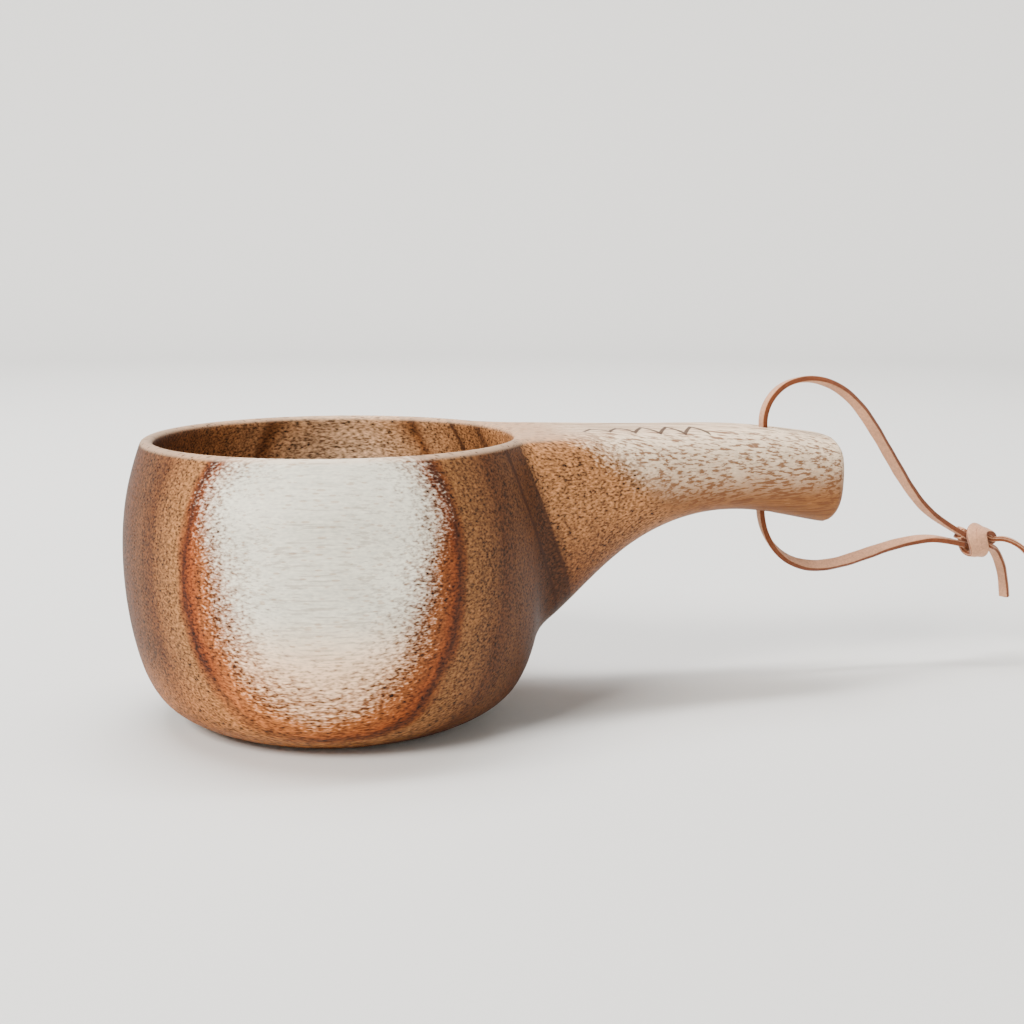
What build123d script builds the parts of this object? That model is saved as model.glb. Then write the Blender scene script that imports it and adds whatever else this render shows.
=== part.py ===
from build123d import *
import math
import os

# Kuksa: a drinking cup and its handle carved from one block of wood, with a knotted lace loop.
#
# Millimetres, +Z up. The origin is the centre of the flat base, under the middle of the mouth,
# and the handle points along +X. The cup is symmetric about the XZ plane.

# Cup: outside
CUP_HEIGHT = 66.0
BELLY_RADIUS = 49.2
BELLY_HEIGHT = 35.5
LIP_RADIUS = 44.2
BASE_RADIUS = 31.0
BASE_EDGE_RISE = 5.6
LIP_ROUND_OUTSIDE = 1.1

# Cup: inside
WALL_AT_LIP = 2.9
WALL_AT_BELLY = 5.5
FLOOR_THICKNESS = 11.0
LIP_ROUND_INSIDE = 1.1

# Handle, reach measured from the cup's axis
HANDLE_REACH = 126.0
HANDLE_ROOT = 34.0
HANDLE_END_CHAMFER = 1.9
NECK_BLEND = 10.0

# The hole near the handle's end and the flat lace that runs through it
HOLE_TO_HANDLE_END = 18.0
HOLE_RADIUS = 2.5
HOLE_EDGE_ROUND = 0.6
LACE_WIDTH = 3.0
LACE_THICKNESS = 1.5
LACE_EDGE_ROUND = 0.4

# The knot that closes the loop, measured from the hole
KNOT_FROM_HOLE = 62.0
KNOT_HEIGHT = 32.5
KNOT_LENGTH = 10.0
KNOT_WIDTH = 9.0
KNOT_DEPTH = 8.0
TAIL_SPREAD = 22.0

HOLE_X = HANDLE_REACH - HOLE_TO_HANDLE_END
HOLE_MIDDLE = CUP_HEIGHT - 11.7
KNOT_X = HOLE_X + KNOT_FROM_HOLE

# What is left standing above the flat top before it is cut
SPARE_HEIGHT = 12.0


def bowl_outside():
    """The bowl's outer shape, a turned solid that is still too tall."""
    side = Spline(
        (BASE_RADIUS, 0),
        (BELLY_RADIUS - 14.0, 1.7),
        (BELLY_RADIUS - 8.2, BASE_EDGE_RISE),
        (BELLY_RADIUS - 2.4, BELLY_HEIGHT / 2),
        (BELLY_RADIUS, BELLY_HEIGHT),
        (BELLY_RADIUS - 1.7, BELLY_HEIGHT + 20),
        (LIP_RADIUS, CUP_HEIGHT),
        (LIP_RADIUS - 0.4 * SPARE_HEIGHT, CUP_HEIGHT + SPARE_HEIGHT),
    )
    top = side @ 1
    outline = side + Polyline(top, (0, top.Y), (0, 0), (BASE_RADIUS, 0))
    return Rot(0, 0, 180) * revolve(Plane.XZ * make_face(outline), Axis.Z)


def bowl_cavity():
    """The hollow: narrowest at the lip, widest at the belly, with a rounded floor."""
    mouth = LIP_RADIUS - WALL_AT_LIP
    belly = BELLY_RADIUS - WALL_AT_BELLY
    wall = Spline(
        (0, FLOOR_THICKNESS),
        (belly * 0.5, FLOOR_THICKNESS + 1.6),
        (belly * 0.88, FLOOR_THICKNESS + 11),
        (belly, BELLY_HEIGHT + 2),
        (belly - 0.9, BELLY_HEIGHT + 18),
        (mouth, CUP_HEIGHT),
        (mouth - 0.3 * SPARE_HEIGHT, CUP_HEIGHT + SPARE_HEIGHT),
        tangents=[(1, 0), (-0.3, 1)],
    )
    top = wall @ 1
    outline = wall + Polyline(top, (0, top.Y), (0, FLOOR_THICKNESS))
    return Rot(0, 0, 180) * revolve(Plane.XZ * make_face(outline), Axis.Z)


def handle_section(x, half_width, top, bottom, shoulder):
    """A closed section across the handle: a superellipse, squarer above its middle than below."""
    middle = bottom + (top - bottom) * 0.56
    points = []
    count = 24
    for step in range(count):
        angle = math.pi / 2 + 2 * math.pi * step / count
        c = math.cos(angle)
        s = math.sin(angle)
        power = shoulder if s > 0 else 2.3
        height = (top - middle) if s > 0 else (middle - bottom)
        y = half_width * math.copysign(abs(c) ** (2 / power), c)
        z = middle + height * math.copysign(abs(s) ** (2 / power), s)
        points.append((x, y, z))
    return Wire(Spline(*points, periodic=True))


def handle_blank():
    """The handle and its neck: deep where it leaves the bowl, dipping at the far end."""
    end = HANDLE_REACH
    top = CUP_HEIGHT
    sections = [
        handle_section(HANDLE_ROOT, 23.5, top + 0.7, top - 54.0, 5.0),
        handle_section(end - 80.0, 22.5, top + 0.7, top - 49.0, 5.0),
        handle_section(end - 68.0, 19.5, top + 0.5, top - 39.2, 4.2),
        handle_section(end - 56.0, 16.8, top + 0.2, top - 29.6, 3.4),
        handle_section(end - 43.0, 15.0, top + 0.0, top - 23.6, 3.0),
        handle_section(end - 29.0, 14.0, top - 0.3, top - 21.6, 2.9),
        handle_section(end - 16.0, 13.6, top - 1.4, top - 23.0, 2.9),
        handle_section(end - 6.0, 12.8, top - 2.8, top - 25.2, 3.0),
        handle_section(end, 12.0, top - 3.7, top - 26.4, 3.1),
    ]
    return Solid.make_loft(sections)


def flat_top_waste():
    """The waste above the flat top that the lip and the handle's root share."""
    side = 4 * HANDLE_REACH
    block = Box(side, side, side, align=(Align.CENTER, Align.CENTER, Align.MIN))
    return Pos(0, 0, CUP_HEIGHT) * block


def lace_hole():
    """The drill's path, straight down through the handle near its end."""
    return Pos(HOLE_X, 0, 0) * Cylinder(HOLE_RADIUS, 3 * CUP_HEIGHT)


def edges_between(shape, x_low, x_high, z_low, z_high, shortest, longest):
    """The edges whose middles lie in a range of X and Z and whose lengths lie in a range."""
    found = []
    for edge in shape.edges():
        middle = edge.center()
        inside = x_low < middle.X < x_high and z_low < middle.Z < z_high
        if inside and shortest < edge.length < longest:
            found.append(edge)
    return found


def lip_edges(shape, radius):
    """The edges in the flat top that follow a circle of this radius about the cup's axis."""
    found = []
    for edge in shape.edges():
        flat = abs((edge @ 0).Z - CUP_HEIGHT) < 0.01 and abs((edge @ 0.5).Z - CUP_HEIGHT) < 0.01
        places = [edge @ 0.2, edge @ 0.5, edge @ 0.8]
        round_lip = all(abs(math.hypot(place.X, place.Y) - radius) < 0.3 for place in places)
        if flat and round_lip and edge.length > radius:
            found.append(edge)
    return found


def make_cup_body():
    """The cup in one piece: blank, blended neck, flat top, hollow, hole and eased edges."""
    blank = bowl_outside() + handle_blank()
    rim_of_neck = edges_between(blank, LIP_RADIUS - 6, BELLY_RADIUS + 11, 5, 80, 120, 180)
    blank = blank.fillet(NECK_BLEND, rim_of_neck)
    end_ring = edges_between(blank, HANDLE_REACH - 1, HANDLE_REACH + 1, 0, CUP_HEIGHT, 30, 100)
    blank = blank.chamfer(HANDLE_END_CHAMFER, None, end_ring)
    cup = blank - flat_top_waste() - bowl_cavity()
    cup = cup.fillet(LIP_ROUND_INSIDE, lip_edges(cup, LIP_RADIUS - WALL_AT_LIP))
    cup = cup.fillet(LIP_ROUND_OUTSIDE, lip_edges(cup, LIP_RADIUS))
    cup = cup - lace_hole()
    mouths = edges_between(cup, HOLE_X - 1, HOLE_X + 1, CUP_HEIGHT - 30, CUP_HEIGHT, 6, 16.5)
    return cup.fillet(HOLE_EDGE_ROUND, mouths)


def upper_route():
    """The lace in the XZ plane, from the middle of the hole up, over the handle's end and down."""
    x = HOLE_X
    z = HOLE_MIDDLE
    return [
        (x, z),
        (x + 0.24, z + 7.2),
        (x - 0.1, z + 14.7),
        (x + 4.0, z + 20.7),
        (x + 11.0, z + 22.7),
        (x + 18.0, z + 20.9),
        (x + 24.0, z + 16.3),
        (x + 29.2, z + 9.5),
        (x + 34.4, z + 1.9),
        (x + 39.8, z - 5.6),
        (x + 45.8, z - 12.3),
        (KNOT_X - 9.4, KNOT_HEIGHT + 4.9),
        (KNOT_X - 3.4, KNOT_HEIGHT + 1.7),
    ]


def lower_route():
    """The lace in the XZ plane, from the middle of the hole down and out under the handle."""
    x = HOLE_X
    z = HOLE_MIDDLE
    return [
        (x, z),
        (x - 0.21, z - 6.3),
        (x + 0.1, z - 13.8),
        (x + 3.2, z - 20.1),
        (x + 8.6, z - 24.7),
        (x + 15.6, z - 26.9),
        (x + 23.2, z - 26.7),
        (x + 31.2, z - 24.7),
        (x + 39.6, z - 22.1),
        (x + 48.0, z - 20.7),
        (KNOT_X - 8.6, KNOT_HEIGHT + 0.5),
        (KNOT_X - 3.4, KNOT_HEIGHT - 0.9),
    ]


def tail_a_route():
    """One cut end below the knot, seen from the side."""
    x = KNOT_X
    z = KNOT_HEIGHT
    return [
        (x + 3.0, z - 1.5),
        (x + 7.6, z - 3.2),
        (x + 11.4, z - 6.8),
        (x + 13.8, z - 11.8),
        (x + 14.6, z - 17.4),
    ]


def tail_b_route():
    """The other cut end, which starts higher and stands out further."""
    x = KNOT_X
    z = KNOT_HEIGHT
    return [
        (x + 3.0, z + 1.3),
        (x + 8.2, z + 1.0),
        (x + 12.6, z - 1.6),
        (x + 15.6, z - 6.0),
        (x + 17.0, z - 11.2),
    ]


def corner_radii(points):
    """The arc at each corner: 0.45 of the shorter run over the tangent of half the turn."""
    radii = []
    for before, here, after in zip(points, points[1:], points[2:]):
        run_in = Vector(*here) - Vector(*before)
        run_out = Vector(*after) - Vector(*here)
        turn = run_in.get_angle(run_out)
        shorter = min(run_in.length, run_out.length)
        radii.append(0.45 * shorter / math.tan(math.radians(turn) / 2))
    return radii


def lace_along(route):
    """A length of lace, its flat section swept along straight runs joined by tangent arcs."""
    radii = corner_radii(route)
    path = FilletPolyline(*[(x, 0, z) for x, z in route], radius=radii)
    section = Plane(origin=path @ 0, x_dir=(0, 1, 0), z_dir=path % 0)
    section = section * RectangleRounded(LACE_WIDTH, LACE_THICKNESS, LACE_EDGE_ROUND)
    print("length", round(path.length, 1), "radii", [round(radius, 1) for radius in radii])
    return sweep(section, path=path)


def turned_about_knot(solid, degrees):
    """A cut end swung about the vertical through the knot."""
    return Pos(KNOT_X, 0, 0) * Rot(0, 0, degrees) * Pos(-KNOT_X, 0, 0) * solid


def make_knot():
    """The outer shape of the overhand knot in which both ends of the lace are tied together."""
    half = Pos(0, -KNOT_LENGTH, 0) * Rectangle(4 * KNOT_LENGTH, 2 * KNOT_LENGTH)
    oval = Ellipse(KNOT_LENGTH / 2, KNOT_LENGTH / 2) - half
    lump = revolve(oval, Axis.X)
    lump = scale(lump, by=(1, KNOT_WIDTH / KNOT_LENGTH, KNOT_DEPTH / KNOT_LENGTH))
    return Pos(KNOT_X, 0, KNOT_HEIGHT) * lump


if __name__ == "__main__":
    os.makedirs("parts", exist_ok=True)
    export_step(make_cup_body(), "parts/cup_body.step")
    export_step(lace_along(upper_route()), "parts/lace_upper.step")
    export_step(lace_along(lower_route()), "parts/lace_lower.step")
    export_step(make_knot(), "parts/lace_knot.step")
    export_step(turned_about_knot(lace_along(tail_a_route()), TAIL_SPREAD), "parts/lace_tail_a.step")
    export_step(turned_about_knot(lace_along(tail_b_route()), -TAIL_SPREAD), "parts/lace_tail_b.step")
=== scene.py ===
import math

import bmesh
import bpy
import numpy as np
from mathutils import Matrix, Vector


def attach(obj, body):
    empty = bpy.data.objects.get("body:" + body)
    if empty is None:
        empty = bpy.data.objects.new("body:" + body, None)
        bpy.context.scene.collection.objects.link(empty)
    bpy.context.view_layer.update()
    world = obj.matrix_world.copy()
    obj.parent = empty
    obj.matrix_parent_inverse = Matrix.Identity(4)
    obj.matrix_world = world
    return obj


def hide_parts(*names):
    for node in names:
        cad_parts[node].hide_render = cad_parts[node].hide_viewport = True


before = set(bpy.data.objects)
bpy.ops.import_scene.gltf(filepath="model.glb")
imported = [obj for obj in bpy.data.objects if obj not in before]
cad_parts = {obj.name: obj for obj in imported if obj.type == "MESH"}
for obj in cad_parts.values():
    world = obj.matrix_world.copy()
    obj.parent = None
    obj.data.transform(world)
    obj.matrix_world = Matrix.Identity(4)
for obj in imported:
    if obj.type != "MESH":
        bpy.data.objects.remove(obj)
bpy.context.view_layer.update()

# ---------------------------------------------------------------- camera
# The cup is seen a little from above and a little from the side away from the handle, so the
# mouth is a narrow ellipse and the handle runs out to the right.

look_at = Vector((0.04264, 0.0, 0.04573))
azimuth, elevation, distance = math.radians(-15.0), math.radians(9.67), 0.36426
back = Vector((
    math.sin(azimuth) * math.cos(elevation),
    -math.cos(azimuth) * math.cos(elevation),
    math.sin(elevation),
))
camera = bpy.data.objects.new("camera", bpy.data.cameras.new("camera"))
camera.data.lens = 52.73
camera.data.sensor_width = 36.0
camera.data.clip_start = 0.01
camera.location = look_at + back * distance
camera.rotation_euler = back.to_track_quat("Z", "Y").to_euler()
bpy.context.collection.objects.link(camera)
bpy.context.scene.camera = camera

# ---------------------------------------------------------------- cup: the carved body
# Bowl, neck and handle are one block of close-grained brown wood with a pale streak, turned and
# carved, hollowed, drilled for the lace, sanded and oiled. Its edges are eased, so the skin is
# one smooth surface.

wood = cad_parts["cup_body"].data.copy()
build = bmesh.new()
build.from_mesh(wood)
bmesh.ops.remove_doubles(build, verts=build.verts, dist=1e-6)
build.to_mesh(wood)
build.free()
cup = bpy.data.objects.new("carved_cup", wood)
bpy.context.collection.objects.link(cup)
VOXEL = 0.00086
sanding = cup.modifiers.new("even_skin", "REMESH")
sanding.mode = "VOXEL"
sanding.voxel_size = VOXEL
sanding = cup.modifiers.new("sanded", "SMOOTH")
sanding.factor = 0.5
sanding.iterations = 2
bpy.context.view_layer.update()
skin = bpy.data.meshes.new_from_object(cup.evaluated_get(bpy.context.evaluated_depsgraph_get()))
cup.modifiers.clear()
cup.data = skin
skin.polygons.foreach_set("use_smooth", [True] * len(skin.polygons))


class Shade:
    """One output of a material's nodes. Arithmetic on it adds Math nodes."""

    def __init__(self, tree, socket=None):
        self.tree, self.socket = tree, socket

    def add(self, kind, settings=None, inputs=None, output=0):
        """Add a node, set what it is set to, feed its sockets and return one of its outputs."""
        node = self.tree.nodes.new("ShaderNode" + kind)
        for key, value in (settings or {}).items():
            if key != "stops":
                setattr(node, key, value)
                continue
            ramp = node.color_ramp
            ramp.elements[0].position, ramp.elements[1].position = value[0][0], value[-1][0]
            for position, color in value[1:-1]:
                ramp.elements.new(position).color = color
            ramp.elements[0].color = value[0][1]
            ramp.elements[len(value) - 1].color = value[-1][1]
        for key, value in (inputs or {}).items():
            if isinstance(value, Shade):
                self.tree.links.new(value.socket, node.inputs[key])
            else:
                node.inputs[key].default_value = value
        return Shade(self.tree, node.outputs[output])

    def math(self, operation, *values):
        """A Math node on numbers or shades."""
        return self.add("Math", {"operation": operation}, dict(enumerate(values)))

    def __add__(self, other):
        return self.math("ADD", self, other)

    def __radd__(self, other):
        return self.math("ADD", other, self)

    def __sub__(self, other):
        return self.math("SUBTRACT", self, other)

    def __rsub__(self, other):
        return self.math("SUBTRACT", other, self)

    def __mul__(self, other):
        return self.math("MULTIPLY", self, other)

    def __rmul__(self, other):
        return self.math("MULTIPLY", other, self)

    def __truediv__(self, other):
        return self.math("DIVIDE", self, other)

    def along(self, direction):
        """This vector's length along a direction."""
        return self.add("VectorMath", {"operation": "DOT_PRODUCT"}, {0: self, 1: direction}, 1)

    def rise(self, low, high):
        """0 below low, 1 above high and a smooth step between; falling where low is the higher."""
        settings = {"interpolation_type": "SMOOTHSTEP"}
        if low > high:
            return 1.0 - self.add("MapRange", settings, {0: self, 1: high, 2: low})
        return self.add("MapRange", settings, {0: self, 1: low, 2: high})

    def noise(self, steps, detail=2.0, roughness=0.5):
        """Noise on this vector, its features so long along each of the vector's parts."""
        scale = self.add("VectorMath", {"operation": "DIVIDE"}, {0: self, 1: steps})
        return self.add(
            "TexNoise", {}, {"Vector": scale, "Scale": 1.0, "Detail": detail, "Roughness": roughness}
        )

    def blend(self, first, second):
        """Two colours mixed by this factor: all of the first at 0, all of the second at 1."""
        return self.add("Mix", {"data_type": "RGBA"}, {0: self, 6: first, 7: second}, 2)


def paint(*levels):
    """A colour given in screen levels, as the shader's linear values."""
    return (*(((level / 255.0 + 0.055) / 1.055) ** 2.4 for level in levels), 1.0)


def new_material(name):
    """A material with a Principled surface; returns it, its start for nodes and the surface."""
    material = bpy.data.materials.new(name)
    material.use_nodes = True
    return material, Shade(material.node_tree), material.node_tree.nodes["Principled BSDF"]


def feed(surface, socket, value):
    """Link a shade to one of the surface's sockets."""
    value.tree.links.new(value.socket, surface.inputs[socket])


oiled_wood, start, surface = new_material("oiled_wood")
place = start.add("TexCoord", {}, {}, 3)
# The fibres run nearly along the handle; the growth layers lie across the bowl's front.
FIBRE = math.radians(-12.0)
grain = (math.cos(FIBRE) * 1000.0, math.sin(FIBRE) * 1000.0, 0.0)
layers = (math.sin(FIBRE) * 1000.0, -math.cos(FIBRE) * 1000.0, 0.0)
fibre, depth = place.along(grain), place.along(layers)
height, length = place.along((0.0, 0.0, 1000.0)), place.along((1000.0, 0.0, 0.0))
wide = place.along((0.0, 1000.0, 0.0))
solid = start.add("CombineXYZ", {}, {0: fibre, 1: depth, 2: height})
sway = solid.noise((70.0, 22.0, 40.0), 2.0) - 0.5
jag = solid.noise((7.0, 2.2, 7.0), 4.0, 0.62) - 0.5
specks = solid.noise((1.3, 0.5, 0.5), 1.0, 0.5)
streaks = solid.noise((8.0, 0.5, 0.5), 2.0, 0.6)
# Growth rings are wide cylinders about a pith far behind the bowl.
PITH_BEHIND, PITH_HEIGHT, CUP_TOP = 380.0, 25.0, 66.0
reach, drop = depth + PITH_BEHIND, height - PITH_HEIGHT
ring = reach * reach + drop * drop
ring = ring.math("SQRT", ring) - PITH_BEHIND + sway * 4.0 + jag * 2.0
tan, orange = paint(136, 90, 52), paint(154, 86, 40)
brown, deep, dark = paint(94, 54, 26), paint(74, 41, 20), paint(70, 30, 12)
ring_stops = [
    (-50.0, paint(236, 208, 176)), (-42.0, paint(218, 180, 142)), (-37.0, paint(186, 138, 96)),
    (-35.4, paint(136, 88, 50)), (-34.6, brown), (-33.4, paint(176, 126, 84)), (-27.0, paint(166, 112, 68)),
    (-18.0, paint(130, 82, 46)),
    (-6.0, paint(96, 56, 28)), (3.0, deep), (12.0, deep), (21.0, brown),
    (27.0, paint(100, 62, 34)), (32.0, brown), (36.0, tan), (39.0, paint(146, 98, 56)),
    (40.0, paint(110, 56, 22)), (40.6, dark), (41.3, paint(128, 60, 22)), (43.0, orange),
    (50.0, paint(166, 98, 48)),
]
color = start.add(
    "ValToRGB", {"stops": [(0.5 + at / 100.0, shade) for at, shade in ring_stops]}, {0: ring / 100.0 + 0.5}
)
# The bowl's right side and its left flank are painted darker: painted shade where they turn from the light.
painted_side_shade = fibre.rise(2.0, 34.0) * 0.42
painted_side_shade = painted_side_shade + depth.rise(39.0, 22.0) * fibre.rise(8.0, -10.0) * 0.34
color = painted_side_shade.blend(color, paint(62, 36, 20))
# Low on the front left the wood is painted a warmer orange: a painted pool of warm light.
painted_warm_light = height.rise(24.0, 8.0) * fibre.rise(20.0, -20.0) * depth.rise(4.0, 22.0)
color = (painted_warm_light * 0.40).blend(color, paint(190, 120, 64))
# The pale streak breaks up into speckles at its edge, and runs wider towards the lip.
edge = ring + height.rise(38.0, 60.0) * 2.6 + (specks - 0.5) * 5.0 + (streaks - 0.5) * 3.0
oval = edge.rise(43.0, 47.8)
# The streak is pale wood, painted two-toned: a warm peach low down as painted sunlight, a cool white above
# as a painted sky reflection.
painted_sunlit_low = height.rise(36.0, 20.0)
pale_wood_painted_light = painted_sunlit_low.blend(paint(232, 227, 208), paint(255, 216, 176))
color = oval.blend(color, pale_wood_painted_light)
# At the neck two thin dark growth lines, then warm speckled wood, then the handle's pale end.
fan = length - (CUP_TOP - height) * 0.40 + sway * 1.6 + jag * 0.8
neck = fan.rise(36.0, 40.0)
# The neck's warm speckled wood is painted darker low down and lighter up top: painted shade below, painted
# light on top.
neck_wood_painted_shade = height.rise(26.0, 54.0).blend(paint(96, 54, 26), paint(160, 108, 66))
color = neck.blend(color, neck_wood_painted_shade)
first_line = fan.rise(32.2, 32.8) * fan.rise(33.6, 33.0)
second_line = fan.rise(36.4, 37.2) * fan.rise(38.0, 37.4)
sapwood = length - (CUP_TOP - height) * 1.35 + jag * 8.0 + sway * 7.0 + (specks - 0.5) * 16.0
pale = sapwood.rise(48.0, 62.0)
# The handle's pale end is painted brown along its lower side: painted shade under the handle.
painted_underside_shade = (height + jag * 3.0).rise(61.0, 47.0)
color = pale.blend(color, painted_underside_shade.blend(paint(236, 210, 178), paint(138, 88, 46)))

# Fine rings, speckles, fibre streaks and slow changes of tone.
light_wood = oval.math("MAXIMUM", oval, pale)
bands = start.add("CombineXYZ", {}, {0: ring, 1: fan * neck, 2: 0.0})
fine_rings = bands.noise((1.5, 400.0, 400.0), 3.0, 0.6)
clouds = solid.noise((26.0, 9.0, 13.0), 2.0)
heart = 1.0 - light_wood * 0.86
tone = 0.94 + (fine_rings - 0.5) * heart * 1.0 + (specks - 0.5) * heart * 3.4
tone = tone + (streaks - 0.5) * 0.34 + (clouds - 0.5) * 0.5
color = start.add("VectorMath", {"operation": "SCALE"}, {0: color, 3: tone})
color = (first_line * 0.85 + second_line * 0.65).blend(color, paint(50, 24, 12))
# A lighter band round the lip: a painted highlight on its rounded edge.
painted_rim_highlight = height.rise(64.6, 65.5) * 0.45
color = painted_rim_highlight.blend(color, paint(222, 188, 156))

# Open pores: slender vessels along the fibres, cut as dashes on the front and as dots at the ends.
cells = start.add("VectorMath", {"operation": "DIVIDE"}, {0: solid, 1: (3.0, 0.72, 0.72)})
pore_settings = {"feature": "F1", "distance": "EUCLIDEAN"}
pore_size = start.add("TexVoronoi", pore_settings, {"Vector": cells, "Scale": 1.0}, 1)
pore_size = start.add("SeparateColor", {}, {0: pore_size})
pore_depth = start.add("TexVoronoi", pore_settings, {"Vector": cells, "Scale": 1.0}, 0)
pores = (pore_size * 0.26 + 0.10 - pore_depth).rise(-0.06, 0.10)
pore_color = light_wood.blend(paint(52, 27, 14), paint(168, 120, 80))
color = (pores * (0.72 - light_wood * 0.3)).blend(color, pore_color)
long_grain = solid.noise((22.0, 0.62, 0.62), 3.0, 0.6) + painted_underside_shade * 0.04
dashes = long_grain.rise(0.49, 0.61) * pale + long_grain.rise(0.56, 0.66) * oval * 0.35
color = (dashes * 0.86).blend(color, paint(108, 64, 34))

# A plain zigzag burnt into the flat top of the handle.
TOOTH, TOOTH_SLOPE, ZIGZAG_FRONT = 3.2, 1.5, 10.0
zigzag = length.math("PINGPONG", length, TOOTH) * TOOTH_SLOPE - ZIGZAG_FRONT
burnt = (wide - zigzag).math("ABSOLUTE", wide - zigzag).rise(1.0, 0.7)
burnt = burnt * height.rise(63.4, 64.0) * length.rise(57.2, 57.6) * length.rise(89.9, 89.5)
color = (burnt * 0.9).blend(color, paint(58, 34, 22))

feed(surface, "Base Color", color)
feed(surface, "Roughness", 0.56 + (streaks - 0.5) * 0.2 + pores * 0.2)
relief = 1.0 - pores * 0.8 - burnt * 1.0 - dashes * 0.3 + (streaks - 0.5) * 0.35
feed(surface, "Normal", start.add("Bump", {}, {"Strength": 0.35, "Distance": 0.00012, "Height": relief}))
surface.inputs["Specular IOR Level"].default_value = 0.16
skin.materials.clear()
skin.materials.append(oiled_wood)
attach(cup, "cup")
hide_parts("cup_body")

# ---------------------------------------------------------------- lace: the two strands of the loop
# One flat suede lace, 3 mm wide and 1.5 mm thick, is pushed through the hole and both its ends are
# tied together. The stiffer upper strand stands up out of the hole and falls over the handle's
# end; the lower one drops out of the hole and is carried out to the knot.

LACE_WIDTH, LACE_THICKNESS = 0.0030, 0.0015
POINTS_ROUND = 36
STEP = 0.0004


def spline_points(points):
    """The points of a NURBS spline whose control points are given, ends included."""
    curve = bpy.data.curves.new("route", "CURVE")
    curve.dimensions = "3D"
    curve.resolution_u = 16
    spline = curve.splines.new("NURBS")
    spline.points.add(len(points) - 1)
    for place, point in zip(spline.points, points):
        place.co = (*point, 1.0)
    spline.order_u = 3
    spline.use_endpoint_u = True
    holder = bpy.data.objects.new("route", curve)
    mesh = bpy.data.meshes.new_from_object(holder)
    found = np.empty(len(mesh.vertices) * 3)
    mesh.vertices.foreach_get("co", found)
    bpy.data.objects.remove(holder)
    return found.reshape(-1, 3)


def evenly(points, spacing):
    """The same line at even steps: its arc length is divided and each coordinate interpolated."""
    steps = np.linalg.norm(np.diff(points, axis=0), axis=1)
    along = np.concatenate([[0.0], np.cumsum(steps)])
    keep = np.concatenate([[True], steps > 1e-9])
    count = int(round(along[-1] / spacing)) + 1
    at = np.linspace(0.0, along[-1], count)
    return np.stack([np.interp(at, along[keep], points[keep, axis]) for axis in range(3)], axis=1)


def unit(vectors):
    """Each row over its own length."""
    return vectors / np.linalg.norm(vectors, axis=-1, keepdims=True)


def lace_profile(count):
    """The lace's cut section, 1 by 1: a superellipse of power 5 for its square but worn edges."""
    turn = np.arange(count) * 2.0 * math.pi / count
    c, s = np.cos(turn), np.sin(turn)
    across = 0.5 * np.sign(c) * np.abs(c) ** (2.0 / 5.0)
    through = 0.5 * np.sign(s) * np.abs(s) ** (2.0 / 5.0)
    return across, through


def grid_mesh(name, points, along):
    """A mesh from a (rows, columns, 3) grid whose columns close round, with a cap at each end.

    The attribute "along" holds each row's distance down the lace and its angle round it.
    """
    rows, columns, _ = points.shape
    index = np.arange(rows * columns).reshape(rows, columns)
    ahead = np.roll(index, -1, axis=1)
    quads = np.stack([index[:-1], ahead[:-1], ahead[1:], index[1:]], axis=-1).reshape(-1, 4)
    vertices = points.reshape(-1, 3)
    faces = [*quads.tolist(), index[0, ::-1].tolist(), index[-1].tolist()]
    mesh = bpy.data.meshes.new(name)
    mesh.from_pydata(vertices.tolist(), [], faces)
    attribute = mesh.attributes.new("along", "FLOAT_VECTOR", "POINT")
    attribute.data.foreach_set("vector", along.reshape(-1).astype(np.float32))
    mesh.update()
    build = bmesh.new()
    build.from_mesh(mesh)
    bmesh.ops.recalc_face_normals(build, faces=build.faces)
    build.to_mesh(mesh)
    build.free()
    mesh.polygons.foreach_set("use_smooth", [True] * len(mesh.polygons))
    piece = bpy.data.objects.new(name, mesh)
    bpy.context.collection.objects.link(piece)
    return piece


def ribbon(name, line, flat_side, width, thickness):
    """The lace's section carried along a line, its width held square to the line.

    flat_side gives each point's wanted width direction; what of it lies along the line is taken
    off. The width breathes by a few percent, as cut suede does.
    """
    heading = unit(np.gradient(line, axis=0))
    wide = unit(flat_side - heading * np.sum(flat_side * heading, axis=1, keepdims=True))
    thin = np.cross(heading, wide)
    across, through = lace_profile(POINTS_ROUND)
    run = np.concatenate([[0.0], np.cumsum(np.linalg.norm(np.diff(line, axis=0), axis=1))])
    breathe = 1.0 + 0.030 * np.sin(run * 410.0) + 0.022 * np.sin(run * 953.0 + 1.3)
    points = (
        line[:, None]
        + wide[:, None] * (across * width)[None, :, None] * breathe[:, None, None]
        + thin[:, None] * (through * thickness)[None, :, None]
    )
    turn = np.broadcast_to(np.arange(POINTS_ROUND) / POINTS_ROUND, (len(line), POINTS_ROUND))
    along = np.stack([np.broadcast_to(run[:, None], turn.shape), turn, turn * 0.0], axis=-1)
    return grid_mesh(name, points, along)


hole_x, hole_middle, knot_x, knot_z = 0.108, 0.0543, 0.170, 0.0325
upper_line = evenly(spline_points([
    (hole_x, 0.0, hole_middle),
    (hole_x + 0.00024, 0.0, hole_middle + 0.0072),
    (hole_x - 0.0001, 0.0, hole_middle + 0.0147),
    (hole_x + 0.0040, -0.0006, hole_middle + 0.0207),
    (hole_x + 0.0110, -0.0016, hole_middle + 0.0227),
    (hole_x + 0.0180, -0.0026, hole_middle + 0.0209),
    (hole_x + 0.0240, -0.0032, hole_middle + 0.0163),
    (hole_x + 0.0292, -0.0034, hole_middle + 0.0095),
    (hole_x + 0.0344, -0.0030, hole_middle + 0.0019),
    (hole_x + 0.0398, -0.0022, hole_middle - 0.0056),
    (hole_x + 0.0458, -0.0012, hole_middle - 0.0123),
    (knot_x - 0.0094, -0.0004, knot_z + 0.0049),
    (knot_x - 0.0034, 0.0, knot_z + 0.0017),
]), STEP)
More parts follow.
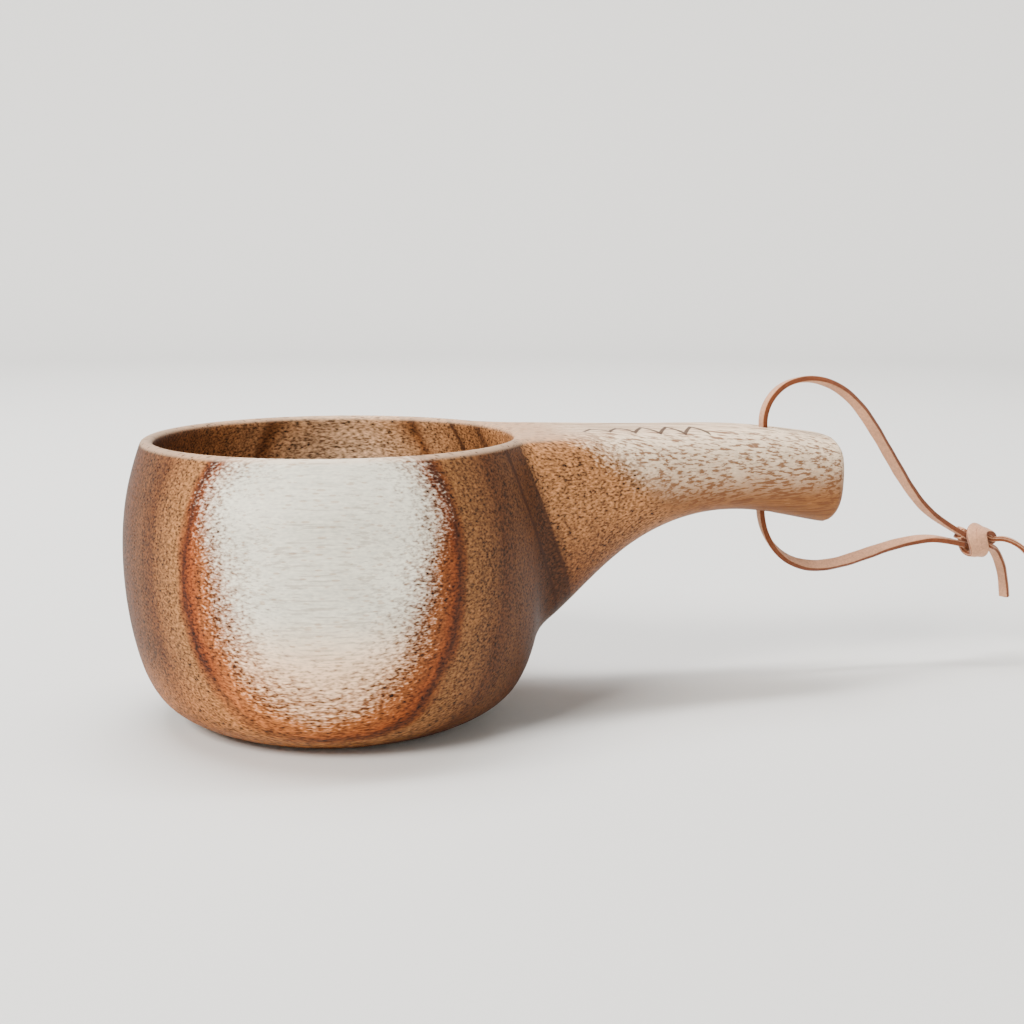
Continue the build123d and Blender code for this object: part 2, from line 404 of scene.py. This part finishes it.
lower_line = evenly(spline_points([
    (hole_x, 0.0, hole_middle),
    (hole_x - 0.00021, 0.0, hole_middle - 0.0063),
    (hole_x + 0.0001, 0.0, hole_middle - 0.0138),
    (hole_x + 0.0032, 0.0005, hole_middle - 0.0201),
    (hole_x + 0.0086, 0.0014, hole_middle - 0.0247),
    (hole_x + 0.0156, 0.0024, hole_middle - 0.0269),
    (hole_x + 0.0232, 0.0031, hole_middle - 0.0267),
    (hole_x + 0.0312, 0.0032, hole_middle - 0.0247),
    (hole_x + 0.0396, 0.0024, hole_middle - 0.0221),
    (hole_x + 0.0480, 0.0013, hole_middle - 0.0207),
    (knot_x - 0.0086, 0.0004, knot_z + 0.0005),
    (knot_x - 0.0034, 0.0, knot_z - 0.0009),
]), STEP)


def twisted_side(line, most, wave):
    """The lace's width direction: across the loop, leaning by a slow twist along its length."""
    part = np.linspace(0.0, 1.0, len(line))
    lean = most * np.sin(math.pi * part) ** 2 + wave * np.sin(2.0 * math.pi * part)
    heading = unit(np.gradient(line, axis=0))
    across = np.broadcast_to((0.0, 1.0, 0.0), line.shape)
    return across * np.cos(lean)[:, None] + np.cross(heading, across) * np.sin(lean)[:, None]


upper_strand = ribbon(
    "upper_strand", upper_line, twisted_side(upper_line, -0.55, 0.16), LACE_WIDTH, LACE_THICKNESS
)
lower_strand = ribbon(
    "lower_strand", lower_line, twisted_side(lower_line, 0.75, -0.12), LACE_WIDTH, LACE_THICKNESS
)

# Pinkish tan suede with a short nap, its cut edges painted browner: partly the cut's own colour, partly
# painted shade on the narrow sides.
suede, start, surface = new_material("suede")
run = start.add("Attribute", {"attribute_name": "along"}, {}, 1)
place = start.add("TexCoord", {}, {}, 3)
round_lace = run.along((0.0, 2.0 * math.pi, 0.0))
face = round_lace.math("SINE", round_lace)
face = face.math("ABSOLUTE", face).rise(0.35, 0.75)
nap = place.noise((0.0006, 0.0006, 0.0006), 4.0, 0.75)
patches = place.noise((0.004, 0.004, 0.004), 2.0)
# The faces take the lace's lit colour and the edges a painted shade brown.
color = face.blend(paint(112, 60, 34), paint(190, 140, 108))
tone = 1.0 + (nap - 0.5) * 1.3 + (patches - 0.5) * 0.4
color = start.add("VectorMath", {"operation": "SCALE"}, {0: color, 3: tone})
feed(surface, "Base Color", color)
surface.inputs["Roughness"].default_value = 0.92
surface.inputs["Specular IOR Level"].default_value = 0.2
surface.inputs["Sheen Weight"].default_value = 0.15
surface.inputs["Sheen Roughness"].default_value = 0.5
feed(surface, "Normal", start.add("Bump", {}, {"Strength": 0.8, "Distance": 0.0002, "Height": nap}))
for piece, node in ((upper_strand, "lace_upper"), (lower_strand, "lace_lower")):
    piece.data.materials.append(suede)
    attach(piece, "lace")
    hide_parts(node)

# ---------------------------------------------------------------- lace: the knot and its two cut ends
# Both strands are laid side by side and tied in one overhand knot, pulled tight. They run in as a
# core, turn back over the top, wrap down across the front, go round behind and tuck out under
# their own turn. The two cut ends hang from it.

KNOT_SLOPE = math.radians(20.0)
KNOT_STEP = 0.00025
PULLED_WIDTH, PULLED_THICKNESS = LACE_WIDTH * 0.92, LACE_THICKNESS * 0.95
knot_place = np.array([knot_x, 0.0, knot_z])
knot_frame = np.array([
    (math.cos(KNOT_SLOPE), 0.0, -math.sin(KNOT_SLOPE)),
    (math.sin(KNOT_SLOPE), 0.0, math.cos(KNOT_SLOPE)),
    (0.0, -1.0, 0.0),
])
# Each row: place along, above and in front of the knot's middle in mm, the way the lace's face
# looks there, and how far each strand stands from the pair's middle, edgewise and facewise.
knot_turns = np.array([
    (-5.2, 0.5, 0.0, 0.0, 1.0, 0.0, 0.0, 0.95),
    (-2.4, 0.3, -0.7, 0.0, 1.0, 0.1, 0.0, 0.80),
    (1.0, 0.0, -1.2, 0.1, 1.0, 0.0, 0.1, 0.75),
    (3.7, 0.4, -1.3, 0.6, 0.6, -0.5, 0.4, 0.55),
    (4.6, 2.1, -0.6, 1.0, 0.4, -0.1, 0.9, 0.25),
    (2.7, 3.5, 0.1, 0.3, 1.0, 0.0, 1.15, 0.10),
    (-0.6, 3.5, 1.0, -0.3, 0.9, 0.4, 1.2, 0.0),
    (-2.2, 1.9, 2.6, -0.5, 0.3, 0.8, 1.2, 0.0),
    (-0.8, -0.6, 3.4, -0.1, 0.0, 1.0, 1.2, 0.0),
    (1.1, -2.6, 2.6, 0.2, -0.5, 0.8, 1.2, 0.0),
    (1.5, -3.7, 0.3, 0.2, -1.0, 0.0, 1.2, 0.0),
    (0.5, -3.0, -2.2, 0.0, -0.7, -0.7, 1.15, 0.05),
    (-0.7, -0.5, -3.4, 0.0, 0.0, -1.0, 1.0, 0.20),
    (-0.5, 1.7, -2.2, 0.0, 0.8, -0.6, 0.5, 0.50),
    (1.6, 1.6, 0.2, 0.0, 1.0, 0.1, 0.2, 0.75),
    (3.9, 0.8, 1.1, 0.1, 1.0, 0.1, 0.2, 0.85),
])
# The cut ends, seen from the side: distance out from the knot and height above its middle, in mm.
tail_routes = {
    "a": (22.0, [(7.6, -2.4), (11.2, -6.4), (13.7, -11.8), (14.6, -17.2)]),
    "b": (-22.0, [(8.0, 0.8), (12.6, -1.6), (15.6, -6.0), (17.0, -11.0)]),
}


def knot_strand(side, tail):
    """One strand's line and face direction: the turns, offset to its side, then its cut end."""
    spots, face = knot_turns[:, :3], unit(knot_turns[:, 3:6])
    heading = unit(np.gradient(spots, axis=0))
    edge = unit(np.cross(face, heading))
    spots = spots + side * (edge * knot_turns[:, 6:7] + face * knot_turns[:, 7:8])
    turn, route = tail
    out = np.array([math.cos(math.radians(turn)), math.sin(math.radians(turn)), 0.0])
    ends = np.array([out * away + (0.0, 0.0, up) for away, up in route])
    slopes = np.gradient(ends, axis=0)
    end_face = unit(np.cross(slopes, np.cross((0.0, 0.0, 1.0), out)))
    places = np.concatenate([spots @ knot_frame, ends]) / 1000.0 + knot_place
    faces = np.concatenate([face @ knot_frame, end_face])
    line = spline_points([tuple(place) for place in places])
    looks = spline_points([tuple(look) for look in faces])
    steps = np.linalg.norm(np.diff(line, axis=0), axis=1)
    keep = np.concatenate([[True], steps > 1e-9])
    along = np.concatenate([[0.0], np.cumsum(steps)])
    at = np.linspace(0.0, along[-1], int(along[-1] / KNOT_STEP))
    both = np.concatenate([line, looks], axis=1)[keep]
    both = np.stack([np.interp(at, along[keep], both[:, axis]) for axis in range(6)], axis=1)
    return both[:, :3], both[:, 3:]


for side, end, nodes in ((1.0, "b", ("lace_knot", "lace_tail_b")), (-1.0, "a", ("lace_tail_a",))):
    line, look = knot_strand(side, tail_routes[end])
    heading = unit(np.gradient(line, axis=0))
    piece = ribbon(
        "knot_strand_" + end, line, np.cross(heading, look), PULLED_WIDTH, PULLED_THICKNESS
    )
    piece.data.materials.append(suede)
    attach(piece, "lace")
    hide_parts(*nodes)


# ---------------------------------------------------------------- floor and studio light
# A pale round floor that curves up into a low wall all round, lit by large soft lamps.

turn, part = np.meshgrid(np.linspace(0.0, 2.0 * math.pi, 97)[:-1], np.linspace(0.0, 1.0, 60))
FLAT_RADIUS, CURVE_WIDTH, WALL_HEIGHT, CLEARANCE = 1.3, 0.78, 1.1, 0.00002
radius = (FLAT_RADIUS + CURVE_WIDTH) * part
rise_part = np.clip((radius - FLAT_RADIUS) / CURVE_WIDTH, 0.0, 1.0)
floor_points = np.stack(
    [radius * np.cos(turn), radius * np.sin(turn), WALL_HEIGHT * rise_part**2.2 - CLEARANCE], axis=-1
)
floor_points[0] = (0.0, 0.0, -CLEARANCE)
rows, columns, _ = floor_points.shape
index = np.arange(rows * columns).reshape(rows, columns)
ahead = np.roll(index, -1, axis=1)
quads = np.stack([index[:-1], index[1:], ahead[1:], ahead[:-1]], axis=-1).reshape(-1, 4)
mesh = bpy.data.meshes.new("floor")
mesh.from_pydata(floor_points.reshape(-1, 3).tolist(), [], quads.tolist())
mesh.polygons.foreach_set("use_smooth", [True] * len(mesh.polygons))
floor = bpy.data.objects.new("floor", mesh)
bpy.context.collection.objects.link(floor)
paper, start, surface = new_material("paper")
surface.inputs["Base Color"].default_value = paint(222, 220, 216)
surface.inputs["Roughness"].default_value = 0.9
mesh.materials.append(paper)


def lamp(name, place, aim, size, power, color):
    """A square soft lamp at a place, turned to face a point."""
    light = bpy.data.lights.new(name, "AREA")
    light.shape = "RECTANGLE"
    light.size, light.size_y = size
    light.energy = power
    light.color = color
    holder = bpy.data.objects.new(name, light)
    holder.location = place
    holder.rotation_euler = (Vector(place) - Vector(aim)).to_track_quat("Z", "Y").to_euler()
    bpy.context.collection.objects.link(holder)


lamp("key", (-0.95, -0.62, 0.95), (0.0, 0.0, 0.03), (0.55, 0.5), 33.0, (1.0, 0.97, 0.93))
lamp("fill", (0.9, -0.7, 0.5), (0.05, 0.0, 0.04), (0.6, 0.6), 1.6, (1.0, 0.98, 0.96))
lamp("top", (-0.1, 0.35, 1.3), (0.03, 0.0, 0.03), (0.9, 0.6), 17.0, (0.96, 0.98, 1.0))
lamp("backdrop", (0.0, 0.2, 1.6), (0.0, 2.2, 0.3), (1.6, 0.5), 60.0, (1.0, 1.0, 1.0))
world = bpy.data.worlds.new("studio")
world.use_nodes = True
world.node_tree.nodes["Background"].inputs[0].default_value = (0.92, 0.96, 1.0, 1.0)
world.node_tree.nodes["Background"].inputs[1].default_value = 0.22
bpy.context.scene.world = world
